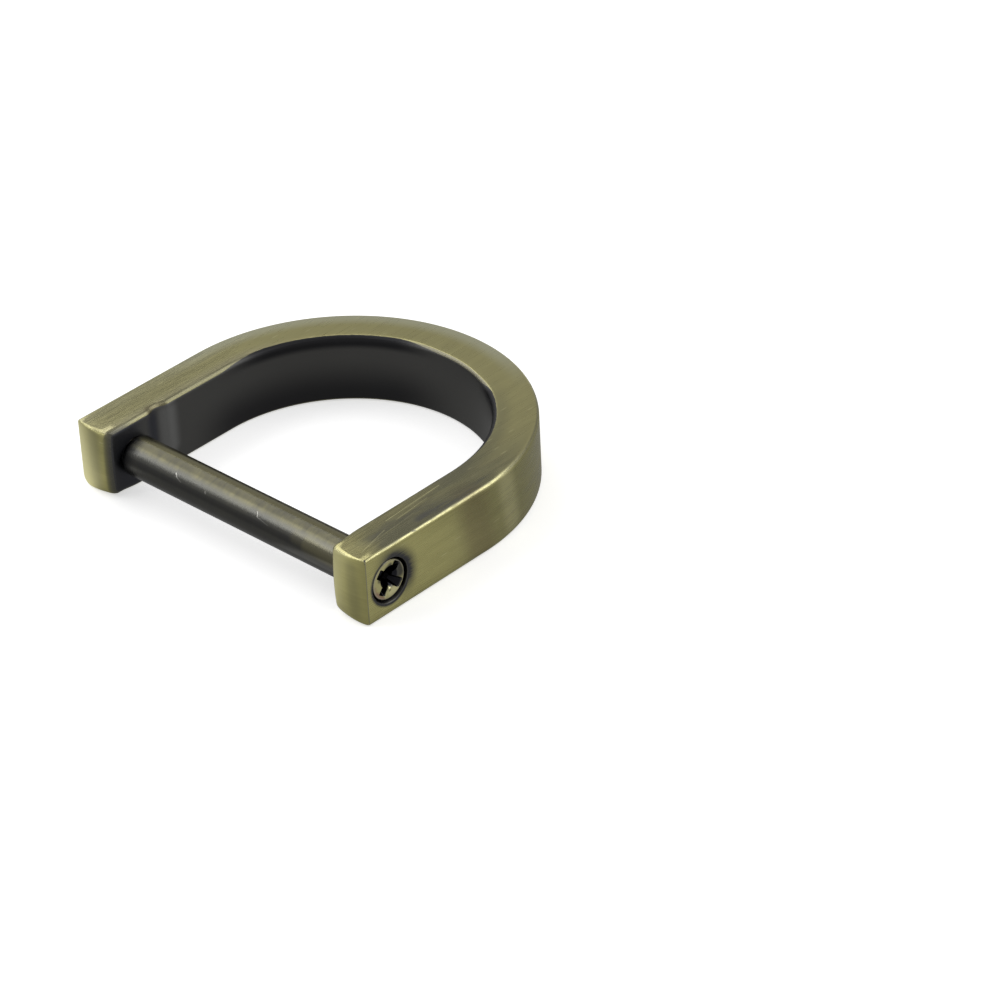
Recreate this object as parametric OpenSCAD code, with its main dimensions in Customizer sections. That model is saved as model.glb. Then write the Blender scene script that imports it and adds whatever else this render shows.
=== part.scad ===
/* [Bow] */
// Clear width between the two legs
inner_width = 25; // [20:0.5:38]
// Thickness of the band, from its inner wall to its outer wall
band_t = 3.8; // [3.2:0.1:5.5]
// Height of the band as the ring lies
band_h = 6.2; // [5.4:0.1:9]
// Straight length of each leg, from the corners of its foot to the spring of the arch
leg_length = 13.4; // [9:0.2:24]
// Rounding of the four long edges of the band
edge_r = 0.5; // [0.2:0.05:0.8]
// How far the end of each foot bulges past its corners
foot_crown = 0.38; // [0.2:0.02:0.7]
// Rounding of the upper and lower edge of each foot's end
foot_edge_r = 0.35; // [0.15:0.05:0.6]
// Rounding of the inner upright edge of each foot
foot_corner_r = 0.55; // [0.2:0.05:1]

/* [Relief] */
// Width of the shallow groove across the inner wall of the tapped leg
relief_w = 2.2; // [1.2:0.1:3]
// Depth of that groove
relief_depth = 0.3; // [0.1:0.05:0.5]
// Distance from the corners of the foot to the middle of that groove
relief_setback = 5.4; // [4.8:0.1:7]

/* [Screw bar] */
// Diameter of the bar
bar_d = 3.5; // [3.2:0.1:4]
// Distance from the corners of the feet to the axis of the bar
bar_setback = 2.55; // [2.5:0.05:4]
// Chamfer of the shoulder that meets the tapped leg
shoulder_chamfer = 0.35; // [0.1:0.05:0.6]
// Running gap between that shoulder and the leg
shoulder_gap = 0.05; // [0.02:0.01:0.2]
// How deep the screw end lies below the outer wall of its leg
end_recess = 0.2; // [0:0.05:0.6]
// Chamfer round the screw end
rim_chamfer = 0.12; // [0.05:0.01:0.3]

/* [Thread] */
// Outer diameter of the thread
thread_d = 2.9; // [2:0.1:3]
// Distance from one ridge of the thread to the next
thread_pitch = 0.5; // [0.35:0.05:0.7]
// Depth of the thread
thread_depth = 0.28; // [0.15:0.01:0.4]
// Width of the flat top of each ridge of the thread
thread_crest = 0.1; // [0.05:0.01:0.2]
// Metal left between the blind hole and the outer wall
blind_wall = 0.6; // [0.4:0.05:0.9]
// Free space between the tip of the bar and the bottom of its hole
tip_gap = 0.3; // [0.1:0.05:0.5]

/* [Holes] */
// Gap all round the bar in the leg that it passes through
bore_clearance = 0.18; // [0.05:0.01:0.3]
// Chamfer round the outer mouth of that bore
bore_chamfer = 0.12; // [0.05:0.01:0.2]
// Gap all round the thread in its blind hole
thread_clearance = 0.06; // [0.03:0.01:0.12]

/* [Cross recess] */
// Length of the cross from tip to tip
cross_span = 2.9; // [1.8:0.1:3]
// Width of each arm
cross_w = 0.65; // [0.4:0.05:0.8]
// Depth of the arms
cross_depth = 1; // [0.6:0.1:1.6]
// Diameter of the round middle at its mouth
core_d = 1.7; // [1:0.05:1.8]
// Diameter of the round middle at its bottom
core_bottom_d = 0.95; // [0.5:0.05:1]
// Depth of the round middle
core_depth = 1.2; // [0.8:0.1:2]
// Turn of the cross about the bar, from the direction of the legs
cross_turn = 50; // [0:5:90]

/* [Hidden] */
$fn = 96;
// Allowance by which cutting solids stand past the faces that they cut
past = 1;

half_width = inner_width / 2 + band_t;
mid_x = inner_width / 2 + band_t / 2;
crown_y = leg_length + half_width;

// The ring is centred on its whole length, from the bulge of the feet to the crown
origin_y = (crown_y - foot_crown) / 2;

// The bulge of a foot is part of an upright round of this radius
foot_r = (band_t * band_t / 4 + foot_crown * foot_crown) / (2 * foot_crown);

relief_r = (relief_w * relief_w / 4 + relief_depth * relief_depth) / (2 * relief_depth);

bar_z = band_h / 2;
bar_end_x = half_width - end_recess;
shoulder_x = -inner_width / 2 + shoulder_gap;
blind_x = -half_width + blind_wall;
tip_x = blind_x + tip_gap;
thread_root_d = thread_d - 2 * thread_depth;
thread_flank = (thread_pitch - thread_crest) / 2;
ridges = floor((shoulder_x - tip_x - thread_pitch) / thread_pitch);

// Cross section of the band, with its inner lower corner at the origin
module band_section() {
    translate([edge_r, 0]) square([band_t - 2 * edge_r, band_h]);
    translate([0, edge_r]) square([band_t, band_h - 2 * edge_r]);
    for (x = [edge_r, band_t - edge_r], z = [edge_r, band_h - edge_r])
        translate([x, z]) circle(edge_r);
}

module on_both_sides() {
    children();
    mirror([1, 0, 0]) children();
}

module leg() {
    translate([inner_width / 2, leg_length, 0]) rotate([90, 0, 0])
        linear_extrude(leg_length + foot_crown) band_section();
}

module arch() {
    translate([0, leg_length, 0]) rotate_extrude(angle = 180)
        translate([inner_width / 2, 0]) band_section();
}

// The upright round that a foot's end follows, with rounded shoulders
module foot_form() {
    rotate_extrude() {
        translate([0, -2 * past]) square([foot_r - foot_edge_r, band_h + 4 * past]);
        translate([0, foot_edge_r]) square([foot_r, band_h - 2 * foot_edge_r]);
        for (z = [foot_edge_r, band_h - foot_edge_r])
            translate([foot_r - foot_edge_r, z]) circle(foot_edge_r);
    }
}

// What is taken off the end of a leg to leave its bulging foot
module foot_trim() {
    trim_w = band_t + 2 * past;
    translate([mid_x, 0, 0]) difference() {
        translate([-trim_w / 2, -foot_crown - past, -past])
            cube([trim_w, foot_crown + 2 * past, band_h + 2 * past]);
        translate([0, foot_r - foot_crown, 0]) foot_form();
    }
}

// What is taken off beside the round that touches both the inner wall and the bulging end
module foot_corner() {
    centre_x = -band_t / 2 + foot_corner_r;
    centre_y = -sqrt(pow(foot_r - foot_corner_r, 2) - centre_x * centre_x);
    reach = foot_corner_r + past;
    towards_end = reach / (foot_r - foot_corner_r);
    translate([mid_x + centre_x, foot_r - foot_crown + centre_y, -past])
        linear_extrude(band_h + 2 * past) difference() {
            polygon([
                [0, 0],
                [-reach, 0],
                [-reach, -reach],
                [centre_x * towards_end, centre_y * towards_end]
            ]);
            circle(foot_corner_r);
        }
}

module along_bar(x) {
    translate([x, bar_setback, bar_z]) rotate([0, 90, 0]) children();
}

module bar_bore() {
    bore_r = bar_d / 2 + bore_clearance;
    along_bar(inner_width / 2 - past) cylinder(r = bore_r, h = band_t + 2 * past);
    along_bar(half_width - bore_chamfer)
        cylinder(r1 = bore_r, r2 = bore_r + bore_chamfer + past, h = bore_chamfer + past);
}

module blind_hole() {
    along_bar(blind_x)
        cylinder(d = thread_d + 2 * thread_clearance, h = band_t - blind_wall + past);
}

module relief() {
    translate([-inner_width / 2 - relief_depth + relief_r, relief_setback, -past])
        cylinder(r = relief_r, h = band_h + 2 * past);
}

module bow() {
    color([0.51, 0.49, 0.34]) translate([0, -origin_y, 0]) difference() {
        union() {
            on_both_sides() leg();
            arch();
        }
        on_both_sides() foot_trim();
        on_both_sides() foot_corner();
        bar_bore();
        blind_hole();
        relief();
    }
}

// Profile of the ridged tip, from its point to the shoulder, as radius and distance along the bar
function ridge(x) = [
    [thread_root_d / 2, x],
    [thread_d / 2, x + thread_flank],
    [thread_d / 2, x + thread_flank + thread_crest],
    [thread_root_d / 2, x + thread_pitch]
];

module tip() {
    points = [
        [0, tip_x],
        for (k = [0:ridges - 1]) each ridge(tip_x + k * thread_pitch),
        [thread_root_d / 2, shoulder_x + past],
        [0, shoulder_x + past]
    ];
    rotate_extrude() polygon(points);
}

module shank() {
    r = bar_d / 2;
    rotate_extrude() polygon([
        [0, shoulder_x],
        [r - shoulder_chamfer, shoulder_x],
        [r, shoulder_x + shoulder_chamfer],
        [r, bar_end_x - rim_chamfer],
        [r - rim_chamfer, bar_end_x],
        [0, bar_end_x]
    ]);
}

module cross_recess() {
    rotate([0, 0, cross_turn]) for (turn = [0, 90]) rotate([0, 0, turn])
        translate([-cross_span / 2, -cross_w / 2, bar_end_x - cross_depth])
            cube([cross_span, cross_w, cross_depth + past]);
    rotate_extrude() polygon([
        [0, bar_end_x - core_depth],
        [core_bottom_d / 2, bar_end_x - core_depth],
        [core_d / 2, bar_end_x],
        [core_d / 2, bar_end_x + past],
        [0, bar_end_x + past]
    ]);
}

module screw_bar() {
    color([0.45, 0.43, 0.35]) translate([0, -origin_y, 0]) along_bar(0) difference() {
        union() {
            tip();
            shank();
        }
        cross_recess();
    }
}

bow();
screw_bar();
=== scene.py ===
"""The looks of a screw bar d ring: a brushed antique brass bow and the dark bar that screws through it."""

import math
from types import SimpleNamespace

import bmesh
import bpy
from mathutils import Matrix, Vector


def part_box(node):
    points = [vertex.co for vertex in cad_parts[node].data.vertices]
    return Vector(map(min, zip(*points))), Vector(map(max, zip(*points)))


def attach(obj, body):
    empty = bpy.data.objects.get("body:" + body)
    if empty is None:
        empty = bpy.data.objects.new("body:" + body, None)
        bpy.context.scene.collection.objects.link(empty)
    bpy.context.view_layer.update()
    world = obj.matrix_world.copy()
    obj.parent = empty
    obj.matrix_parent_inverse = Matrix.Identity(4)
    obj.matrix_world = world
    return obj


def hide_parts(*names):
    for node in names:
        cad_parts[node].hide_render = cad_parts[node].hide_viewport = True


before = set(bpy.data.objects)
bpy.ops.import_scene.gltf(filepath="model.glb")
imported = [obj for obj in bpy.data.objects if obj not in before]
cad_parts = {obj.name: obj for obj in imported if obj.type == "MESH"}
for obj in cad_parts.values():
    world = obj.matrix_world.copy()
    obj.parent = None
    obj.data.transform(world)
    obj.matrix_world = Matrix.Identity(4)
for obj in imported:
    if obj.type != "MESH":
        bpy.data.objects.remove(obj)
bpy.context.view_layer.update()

MM = 0.001

# Sizes that the frame gives
bow_low, bow_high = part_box("bow")
bar_low, bar_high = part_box("screw_bar")
half_width = bow_high.x
band_height = bow_high.z
crown_y = bow_high.y
bar_y = (bar_low.y + bar_high.y) / 2
bar_z = (bar_low.z + bar_high.z) / 2
bar_r = (bar_high.z - bar_low.z) / 2
bar_end_x = bar_high.x
bar_tip_x = bar_low.x

# Sizes that repeat the construction's own
band_t = 3.8 * MM
foot_crown = 0.38 * MM
relief_setback = 5.4 * MM
relief_w = 2.2 * MM
relief_depth = 0.3 * MM
bore_clearance = 0.18 * MM
thread_d = 2.9 * MM
thread_pitch = 0.5 * MM
thread_depth = 0.28 * MM
thread_clearance = 0.06 * MM
blind_wall = 0.6 * MM
shoulder_gap = 0.05 * MM
shoulder_chamfer = 0.35 * MM
cross_span = 2.9 * MM
cross_w = 0.65 * MM
cross_depth = 1.0 * MM
cross_turn = 50

inner_r = half_width - band_t
middle_r = half_width - band_t / 2
spring_y = crown_y - half_width
foot_y = bow_low.y + foot_crown
leg_length = spring_y - foot_y
shoulder_x = -inner_r + shoulder_gap
blind_x = -half_width + blind_wall
thread_root_r = thread_d / 2 - thread_depth
bore_r = bar_r + bore_clearance


# Node trees are written as sums

class Flow:
    """A value that flows through a node tree: arithmetic on it adds the nodes."""

    def __init__(self, tree, socket):
        self.tree = tree
        self.socket = socket

    def math(self, operation, *others):
        node = add_node(self.tree, "ShaderNodeMath", (self, *others), operation=operation)
        return Flow(self.tree, node.outputs[0])

    def __add__(self, other):
        return self.math("ADD", other)

    def __sub__(self, other):
        return self.math("SUBTRACT", other)

    def __rsub__(self, other):
        return (self * -1).math("ADD", other)

    def __mul__(self, other):
        return self.math("MULTIPLY", other)

    def __truediv__(self, other):
        return self.math("DIVIDE", other)

    def __mod__(self, other):
        return self.math("FLOORED_MODULO", other)

    def __pow__(self, other):
        return self.math("POWER", other)

    __radd__ = __add__
    __rmul__ = __mul__

    def least(self, other):
        return self.math("MINIMUM", other)

    def most(self, other):
        return self.math("MAXIMUM", other)

    def above(self, limit):
        return self.math("GREATER_THAN", limit)

    def below(self, limit):
        return self.math("LESS_THAN", limit)


def feed(tree, value, socket):
    """Gives a socket a flow or a plain value."""
    if isinstance(value, Flow):
        tree.links.new(value.socket, socket)
    elif value is not None:
        socket.default_value = value


def add_node(tree, kind, values=(), **settings):
    node = tree.nodes.new(kind)
    for name, value in settings.items():
        setattr(node, name, value)
    pairs = values.items() if isinstance(values, dict) else enumerate(values)
    for key, value in pairs:
        feed(tree, value, node.inputs[key])
    return node


def mix(low, high, share):
    return low + (high - low) * share


def rise(value, low, high, start=0.0, end=1.0):
    """A smooth step from start to end while the value goes from low to high."""
    values = (value, low, high, start, end)
    node = add_node(value.tree, "ShaderNodeMapRange", values, interpolation_type="SMOOTHSTEP")
    return Flow(value.tree, node.outputs[0])


def stretch(value, start, full, fade, end):
    """One between full and fade, nought before start and past end, with a smooth step on either side."""
    return rise(value, start, full) * rise(value, end, fade)


def keyed(value, keys):
    """A smooth curve through (place, value) pairs."""
    flow = None
    for (place, start), (next_place, end) in zip(keys, keys[1:]):
        step = rise(value, place, next_place, 0.0, end - start)
        flow = step if flow is None else flow + step
    return flow + keys[0][1]


def vector(tree, x, y, z):
    return Flow(tree, add_node(tree, "ShaderNodeCombineXYZ", (x, y, z)).outputs[0])


def parts_of(flow):
    node = add_node(flow.tree, "ShaderNodeSeparateXYZ", (flow,))
    return [Flow(flow.tree, output) for output in node.outputs]


def float_inputs(values):
    """Number sockets with the given names and first values."""
    return {label: ("NodeSocketFloat", value) for label, value in values.items()}


def vector_inputs(*labels):
    return {label: ("NodeSocketVector", None) for label in labels}


def new_tree(name, kind, inputs, outputs):
    """An empty node group with named inputs and outputs, and its inputs as flows."""
    tree = bpy.data.node_groups.new(name, kind)
    for label, (socket_type, default) in inputs.items():
        socket = tree.interface.new_socket(label, in_out="INPUT", socket_type=socket_type)
        if default is not None:
            socket.default_value = default
    for label, socket_type in outputs.items():
        tree.interface.new_socket(label, in_out="OUTPUT", socket_type=socket_type)
    given = tree.nodes.new("NodeGroupInput")
    return tree, {label: Flow(tree, given.outputs[label]) for label in inputs}


def shape_tree(name, sizes):
    """A Geometry Nodes tree with named sizes that puts out a shape."""
    return new_tree(name, "GeometryNodeTree", float_inputs(sizes), {"Geometry": "NodeSocketGeometry"})


def effect_tree(name, inputs, outputs):
    """A shader node group that puts out named numbers."""
    return new_tree(name, "ShaderNodeTree", inputs, {label: "NodeSocketFloat" for label in outputs})


def put_out(tree, results):
    node = tree.nodes.new("NodeGroupOutput")
    for label, flow in results.items():
        tree.links.new(flow.socket, node.inputs[label])


# Meshes

def tidy_mesh(mesh, merge=2e-6):
    """Merges doubles and turns every face outwards."""
    tidy = bmesh.new()
    tidy.from_mesh(mesh)
    bmesh.ops.remove_doubles(tidy, verts=tidy.verts, dist=merge)
    bmesh.ops.dissolve_degenerate(tidy, edges=tidy.edges, dist=merge / 4)
    bmesh.ops.recalc_face_normals(tidy, faces=tidy.faces)
    tidy.to_mesh(mesh)
    tidy.free()


def new_object(name, data):
    thing = bpy.data.objects.new(name, data)
    bpy.context.scene.collection.objects.link(thing)
    return thing


def settle(piece):
    """Turns the evaluated piece into a plain mesh without modifiers."""
    graph = bpy.context.evaluated_depsgraph_get()
    mesh = bpy.data.meshes.new_from_object(piece.evaluated_get(graph))
    piece.modifiers.clear()
    piece.data = mesh


def grow(name, tree, sizes):
    """Runs a Geometry Nodes tree with the given sizes and keeps its result as a plain mesh."""
    piece = new_object(name, bpy.data.meshes.new(name))
    modifier = piece.modifiers.new("grow", "NODES")
    modifier.node_group = tree
    for item in tree.interface.items_tree:
        if item.in_out == "INPUT":
            modifier[item.identifier] = sizes[item.name]
    settle(piece)
    tidy_mesh(piece.data)
    return piece


def skin_rings(name, rings, open_start=False):
    """A skin over rings of equal counts, closed at its ends."""
    count = len(rings[0])
    vertices = [point for ring in rings for point in ring]
    faces = []
    for row in range(len(rings) - 1):
        for k in range(count):
            a, b = row * count + k, row * count + (k + 1) % count
            faces.append((a, b, b + count, a + count))
    ends = [(len(rings) - 1) * count] + ([] if open_start else [0])
    for start in ends:
        vertices.append(sum((Vector(vertices[start + k]) for k in range(count)), Vector()) / count)
        faces += [(start + k, start + (k + 1) % count, len(vertices) - 1) for k in range(count)]
    mesh = bpy.data.meshes.new(name)
    mesh.from_pydata(vertices, [], faces)
    tidy_mesh(mesh)
    return new_object(name, mesh)


def cut(piece, cutter):
    """Takes a cutter's space out of a piece."""
    modifier = piece.modifiers.new("cut", "BOOLEAN")
    modifier.operation = "DIFFERENCE"
    modifier.solver = "EXACT"
    modifier.object = cutter
    settle(piece)
    tidy_mesh(piece.data)
    bpy.data.objects.remove(cutter)


def join(piece, other):
    """Joins two matching skins into one piece."""
    joined = bmesh.new()
    joined.from_mesh(piece.data)
    joined.from_mesh(other.data)
    joined.to_mesh(piece.data)
    joined.free()
    bpy.data.objects.remove(other)
    tidy_mesh(piece.data)


def coat(piece, finish):
    """Gives the whole piece one finish."""
    mesh = piece.data
    mesh.materials.clear()
    mesh.materials.append(finish)
    mesh.polygons.foreach_set("material_index", [0] * len(mesh.polygons))


def shade_smooth(piece, angle=38):
    """Soft shading that stays sharp where the surface really turns."""
    mesh = piece.data
    mesh.polygons.foreach_set("use_smooth", [True] * len(mesh.polygons))
    mesh.set_sharp_from_angle(angle=math.radians(angle))
    weigh = piece.modifiers.new("weigh", "WEIGHTED_NORMAL")
    weigh.keep_sharp = True
    settle(piece)


def counted_grid(tree, rows, columns):
    """A flat grid, and the row and the column of each of its points."""
    counts = {"Size X": rows, "Size Y": columns, "Vertices X": rows + 1, "Vertices Y": columns + 1}
    grid = add_node(tree, "GeometryNodeMeshGrid", counts)
    x, y, _ = parts_of(Flow(tree, add_node(tree, "GeometryNodeInputPosition").outputs[0]))
    return grid, x + rows / 2, y + columns / 2


def finish_tree(tree, grid, place, finish):
    """Moves the grid into shape, closes the skin's seam and poles, and gives it its finish."""
    geometry = Flow(tree, grid.outputs["Mesh"])
    steps = {
        "GeometryNodeSetPosition": {"Position": place},
        "GeometryNodeMergeByDistance": {"Distance": 1e-6},
        "GeometryNodeRealizeInstances": {},
        "GeometryNodeSetMaterial": {"Material": finish},
    }
    for kind, values in steps.items():
        node = add_node(tree, kind, {"Geometry": geometry, **values})
        geometry = Flow(tree, node.outputs["Geometry"])
    put_out(tree, {"Geometry": geometry})


# The bow's band, as rows along it and columns round its section

CORNER_STEPS = 8
FACE_STEPS = 6
QUARTER = CORNER_STEPS + FACE_STEPS
COLUMNS = 4 * QUARTER
CAP_ROWS = 9
FOOT_ROWS = 8
END_ROWS = CAP_ROWS + FOOT_ROWS
BAND_ROWS = 360

# Rounding of the four long edges: (share of the band's length from the screw end's foot, millimetres)
edge_rounding = {
    "inner_low": ((0, 1.15), (0.04, 0.5), (0.96, 0.5), (1, 1.0)),
    "outer_low": ((0, 0.5), (0.06, 0.5), (0.94, 0.5), (1, 1.1)),
    "outer_top": ((0, 0.22), (0.04, 0.36), (0.2, 0.5), (0.45, 0.36), (0.9, 0.3), (1, 0.3)),
    "inner_top": (
        (0, 0.72), (0.04, 0.32), (0.2, 0.32), (0.3, 0.5), (0.39, 0.5), (0.43, 0.36),
        (0.5, 0.36), (0.57, 0.55), (0.75, 0.55), (0.95, 0.5), (1, 0.6),
    ),
}

band_sizes = {
    "Inner Radius": inner_r,
    "Band Thickness": band_t,
    "Height": band_height,
    "Leg Length": leg_length,
    "Foot Y": foot_y,
    "Foot Crown": foot_crown,
    "Foot Pillow": 0.2 * MM,
    "Foot Margin": 1.25 * MM,
    "Outer Corner": 0.09 * MM,
    "Inner Corner": 0.62 * MM,
    "Rim Inner": 0.5 * MM,
    "Rim Outer": 0.16 * MM,
    "Lower Rim Inner": 0.9 * MM,
    "Lower Rim Outer": 0.4 * MM,
    "Relief Setback": relief_setback,
    "Relief Width": relief_w,
    "Relief Depth": relief_depth,
}


def edge_point(size, rounding, quarter, turn):
    """Place and outward direction on the band's section, on the rounding of one of its four edges."""
    outer = ((quarter + 3) % 4).below(1.5)
    top = (quarter % 4).above(1.5)
    low = mix(rounding["inner_low"], rounding["outer_low"], outer)
    high = mix(rounding["inner_top"], rounding["outer_top"], outer)
    radius = mix(low, high, top)
    angle = (quarter + 2) * (math.pi / 2) + turn
    out_across, out_up = angle.math("COSINE"), angle.math("SINE")
    across = size["Band Thickness"] * outer + radius * (1 - outer * 2) + radius * out_across
    up = size["Height"] * top + radius * (1 - top * 2) + radius * out_up
    return across, up, out_across, out_up


def section_point(size, share, column):
    """Place and outward direction on the section: each quarter is a rounding and the face after it."""
    quarter = (column / QUARTER).math("FLOOR")
    step = column - quarter * QUARTER
    turn = (step / CORNER_STEPS).least(1.0) * (math.pi / 2)
    on_face = ((step - CORNER_STEPS) / FACE_STEPS).most(0.0)
    rounding = {name: keyed(share, keys) * MM for name, keys in edge_rounding.items()}
    across, up, out_across, out_up = edge_point(size, rounding, quarter, turn)
    next_across, next_up, _, _ = edge_point(size, rounding, quarter + 1, 0.0)
    return mix(across, next_across, on_face), mix(up, next_up, on_face), out_across, out_up


def foot_rounding(size, across, out_across, out_up):
    """The radius with which the end of a foot runs into the faces and walls beside it."""
    to_outside = rise(across, 0.3 * MM, 3.5 * MM)
    rim = mix(size["Rim Inner"], size["Rim Outer"], to_outside)
    lower_rim = mix(size["Lower Rim Inner"], size["Lower Rim Outer"], to_outside)
    rim = mix(rim, lower_rim, out_up.below(0.0))
    wall = mix(size["Outer Corner"], size["Inner Corner"], out_across.below(0.0))
    return mix(rim, wall, out_across * out_across)


def foot_bulge(size, across, up):
    """How far the end of a foot stands out past its corners."""
    from_middle = across / (size["Band Thickness"] / 2) - 1
    from_half = up / (size["Height"] / 2) - 1
    pillow = size["Foot Pillow"] * (1 - from_half * from_half) * (1 - from_middle) / 2
    return (size["Foot Crown"] - size["Foot Pillow"] / 2) * (1 - from_middle * from_middle) + pillow


def relief_shift(size, length, place, across):
    """How far the shallow groove moves the inner wall of the tapped leg outwards."""
    from_middle = (length - place - size["Relief Setback"]).math("ABSOLUTE")
    share = from_middle / (size["Relief Width"] / 2)
    scoop = (1 - share * share).most(0.0) ** 1.3
    return size["Relief Depth"] * scoop * rise(across, 0.5 * MM, 1.3 * MM, 1.0, 0.0)


def bent_place(size, arch, along, across, up):
    """Where a point of the straight band lies once the band is bent round the arch."""
    middle_radius = size["Inner Radius"] + size["Band Thickness"] / 2
    bend = ((along - size["Leg Length"]) / middle_radius).most(0.0).least(math.pi)
    radius = size["Inner Radius"] + across
    short_of_arch = (size["Leg Length"] - along).most(0.0)
    past_arch = (along - size["Leg Length"] - arch).most(0.0)
    spring = size["Foot Y"] + size["Leg Length"]
    x = radius * bend.math("COSINE")
    y = spring + radius * bend.math("SINE") - short_of_arch - past_arch
    return vector(along.tree, x, y, up)


def band_tree(finish):
    """Geometry Nodes: the skin of a band that runs down one leg, round the arch and down the other leg."""
    tree, size = shape_tree("bent_band", band_sizes)
    rows = BAND_ROWS + 2 * END_ROWS
    grid, row, column = counted_grid(tree, rows, COLUMNS)
    thickness = size["Band Thickness"]
    arch = (size["Inner Radius"] + thickness / 2) * math.pi
    length = size["Leg Length"] * 2 + arch
    margin = size["Foot Margin"]
    share_along = ((row - END_ROWS) / BAND_ROWS).most(0.0).least(1.0)
    place = margin + (length - margin * 2) * share_along

    # How far a row is from the middle of the nearer foot's end: the cap, its rounding, then the band
    from_end = row.least(rows - row)
    cap = (from_end / CAP_ROWS).least(1.0)
    turn_out = ((from_end - CAP_ROWS) / FOOT_ROWS).most(0.0).least(1.0) * (math.pi / 2)
    in_band = from_end.above(END_ROWS - 0.5)
    far_foot = row.above(rows / 2)

    # The foot draws the section in towards its end, which bulges
    across, up, out_across, out_up = section_point(size, place / length, column)
    foot_round = foot_rounding(size, across, out_across, out_up)
    inset = foot_round * (1 - turn_out.math("SINE"))
    across = mix(thickness / 2, across - out_across * inset, cap)
    up = mix(size["Height"] / 2, up - out_up * inset, cap)
    end_along = foot_round * (1 - turn_out.math("COSINE")) - foot_bulge(size, across, up)
    end_along = mix(end_along, length - end_along, far_foot)
    along = mix(end_along, place, in_band)
    across = across + relief_shift(size, length, place, across) * in_band
    finish_tree(tree, grid, bent_place(size, arch, along, across, up), finish)
    return tree


BAR_SIDES = 128


def turned_skin(name, profile, open_start=False):
    """A skin turned about the bar's axis, from (x, radius) pairs."""
    turns = [2 * math.pi * k / BAR_SIDES for k in range(BAR_SIDES)]
    rings = []
    for x, radius in profile:
        circle = [(radius * math.cos(turn), radius * math.sin(turn)) for turn in turns]
        rings.append([Vector((x, bar_y + out_y, bar_z + out_z)) for out_y, out_z in circle])
    return skin_rings(name, rings, open_start)


def bore_cutter():
    """The bore that the bar passes through, with softened mouths."""
    mouth = ((0.12, 0), (0.07, 0.012), (0.03, 0.045), (0, 0.11), (-0.4, 0.8))
    profile = [(inner_r + depth * MM, bore_r + flare * MM) for depth, flare in reversed(mouth)]
    profile += [(half_width - depth * MM, bore_r + flare * MM) for depth, flare in mouth]
    return turned_skin("bore", profile)


def hole_mouth_cutter():
    """The countersink at the mouth of the tapped hole, with a short cone that starts inside the hole."""
    mouth_x = -inner_r
    return turned_skin("hole_mouth", (
        (mouth_x - 0.55 * MM, 0.3 * MM),
        (mouth_x - 0.39 * MM, thread_root_r),
        (mouth_x + 0.5 * MM, thread_root_r + 0.9 * MM),
    ))


def make_bow(finish):
    bow = grow("bow_brass", band_tree(finish), band_sizes)
    cut(bow, bore_cutter())
    cut(bow, grow("tapped_hole", thread_tree(finish), tapping_sizes))
    cut(bow, hole_mouth_cutter())
    coat(bow, finish)
    shade_smooth(bow)
    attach(bow, "ring")
    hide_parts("bow")


# The screw bar

THREAD_ROWS = 150

thread_sizes = {
    "Tip X": bar_tip_x,
    "Length": shoulder_x - bar_tip_x,
    "Root Radius": thread_root_r,
    "Depth": thread_depth,
    "Pitch": thread_pitch,
    "Phase": 0.0,
    "Point": 0.35 * MM,
    "Closed End": 0.0,
    "Axis Y": bar_y,
    "Axis Z": bar_z,
}

# The blind hole is tapped with the same thread, a little wider, and its space ends past the inner wall
tapping_sizes = {
    **thread_sizes,
    "Tip X": blind_x,
    "Length": -inner_r + 0.3 * MM - blind_x,
    "Root Radius": thread_root_r + thread_clearance,
    "Phase": (blind_x - bar_tip_x) / thread_pitch,
    "Point": 0.6 * MM,
    "Closed End": 1.0,
}


def thread_tree(finish):
    """Geometry Nodes: a blunt tip whose ridge winds round it as a right-handed screw."""
    tree, size = shape_tree("threaded_tip", thread_sizes)
    rows = THREAD_ROWS + 1
    grid, row, column = counted_grid(tree, rows, BAR_SIDES)

    along = ((row - 1) / THREAD_ROWS).most(0.0) * size["Length"]
    turns = column / BAR_SIDES
    phase = (along / size["Pitch"] - turns + size["Phase"]) % 1.0
    ridge = rise(phase, 0.05, 0.42) * rise(phase, 0.58, 0.95, 1.0, 0.0)
    lead_in = rise(along, 0.1 * MM, 0.7 * MM)
    run_out = rise(size["Length"] - along, 0.12 * MM, 0.45 * MM)
    point = rise(along / size["Point"], 0.0, 1.0, 1.0, 0.0) * size["Point"]
    radius = size["Root Radius"] - point + size["Depth"] * ridge * lead_in * run_out
    radius = radius * row.above(0.5) * (1 - row.above(rows - 0.5) * size["Closed End"])

    angle = turns * (2 * math.pi)
    place_y = size["Axis Y"] + radius * angle.math("COSINE")
    place_z = size["Axis Z"] + radius * angle.math("SINE")
    finish_tree(tree, grid, vector(tree, size["Tip X"] + along, place_y, place_z), finish)
    return tree


def shank():
    """The plain part of the bar, from the neck of the thread to the screw end."""
    face = bar_r - shoulder_chamfer
    chamfer_x = shoulder_x + shoulder_chamfer
    softening = 0.04 * MM
    profile = [
        (shoulder_x, thread_root_r),
        (shoulder_x, (thread_root_r + face) / 2),
        (shoulder_x, face - softening),
        (shoulder_x + 0.02 * MM, face),
        (chamfer_x - 0.03 * MM, bar_r - softening),
        (chamfer_x + 0.05 * MM, bar_r),
    ]
    start, end = shoulder_x + 0.6 * MM, bar_end_x - 0.2 * MM
    steps = 90
    profile += [(start + (end - start) * k / steps, bar_r) for k in range(steps + 1)]
    rim = 0.14 * MM
    rim_steps = 6
    for k in range(1, rim_steps + 1):
        turn = math.pi / 2 * k / rim_steps
        profile.append((bar_end_x - rim * (1 - math.sin(turn)), bar_r - rim * (1 - math.cos(turn))))
    profile += [(bar_end_x, (bar_r - rim) * share) for share in (0.8, 0.6, 0.4, 0.2)]
    return turned_skin("shank", profile, open_start=True)


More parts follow.
